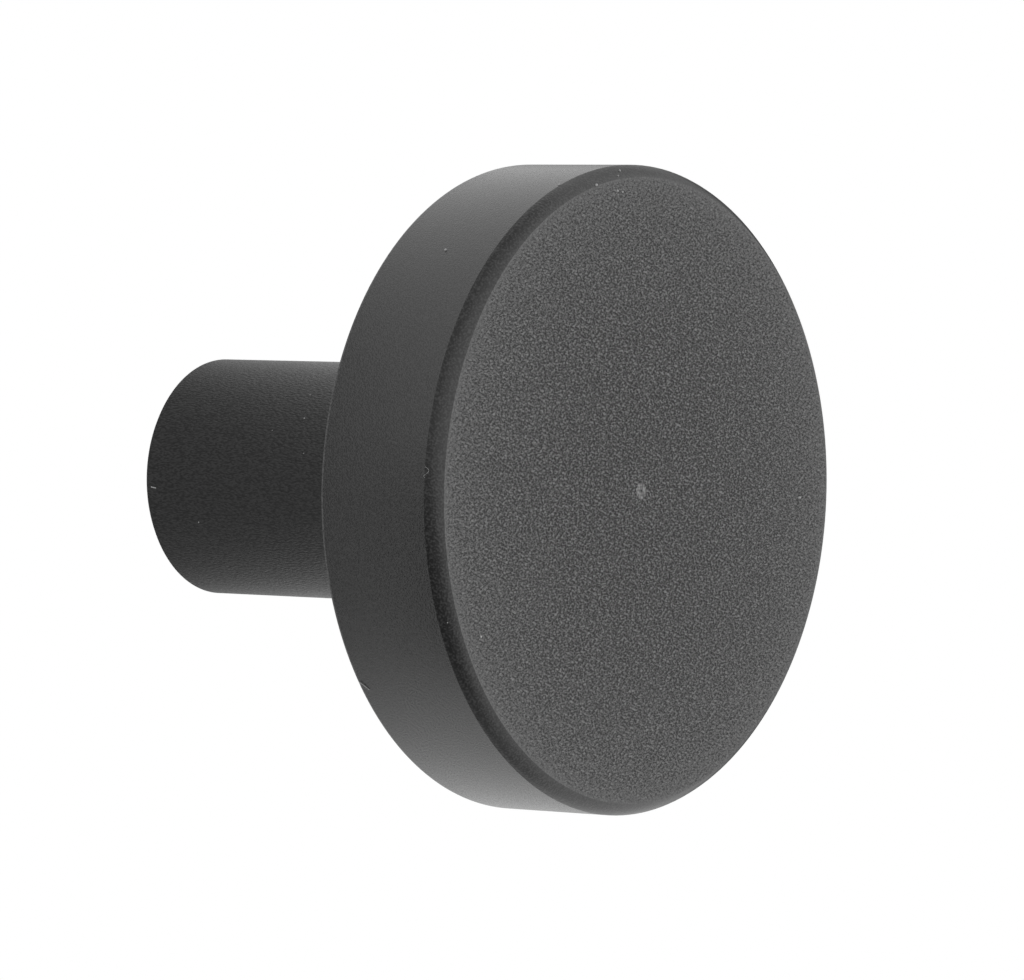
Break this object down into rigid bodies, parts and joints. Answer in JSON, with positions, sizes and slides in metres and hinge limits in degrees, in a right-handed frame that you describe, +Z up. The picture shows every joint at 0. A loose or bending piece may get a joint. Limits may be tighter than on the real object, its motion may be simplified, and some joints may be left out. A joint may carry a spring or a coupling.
{
  "type": "cabinet knob",
  "caption": "Cabinet knob with a flat disc head on a plain cylindrical stem, turned in one piece and held to a door by a screw from behind.",
  "frame": {"origin": "centre of the seat face, where the end of the stem meets the door", "axes": "+Y along the knob's axis into the door, so the head's face looks to -Y; +Z up"},
  "size_m": [0.032, 0.0272, 0.032],
  "materials": {
    "anodised_aluminium": "blasted face, satin-turned rim and stem, anodised matt black"
  },
  "bodies": {
    "root": {"knob": "anodised_aluminium"}
  },
  "joints": []
}
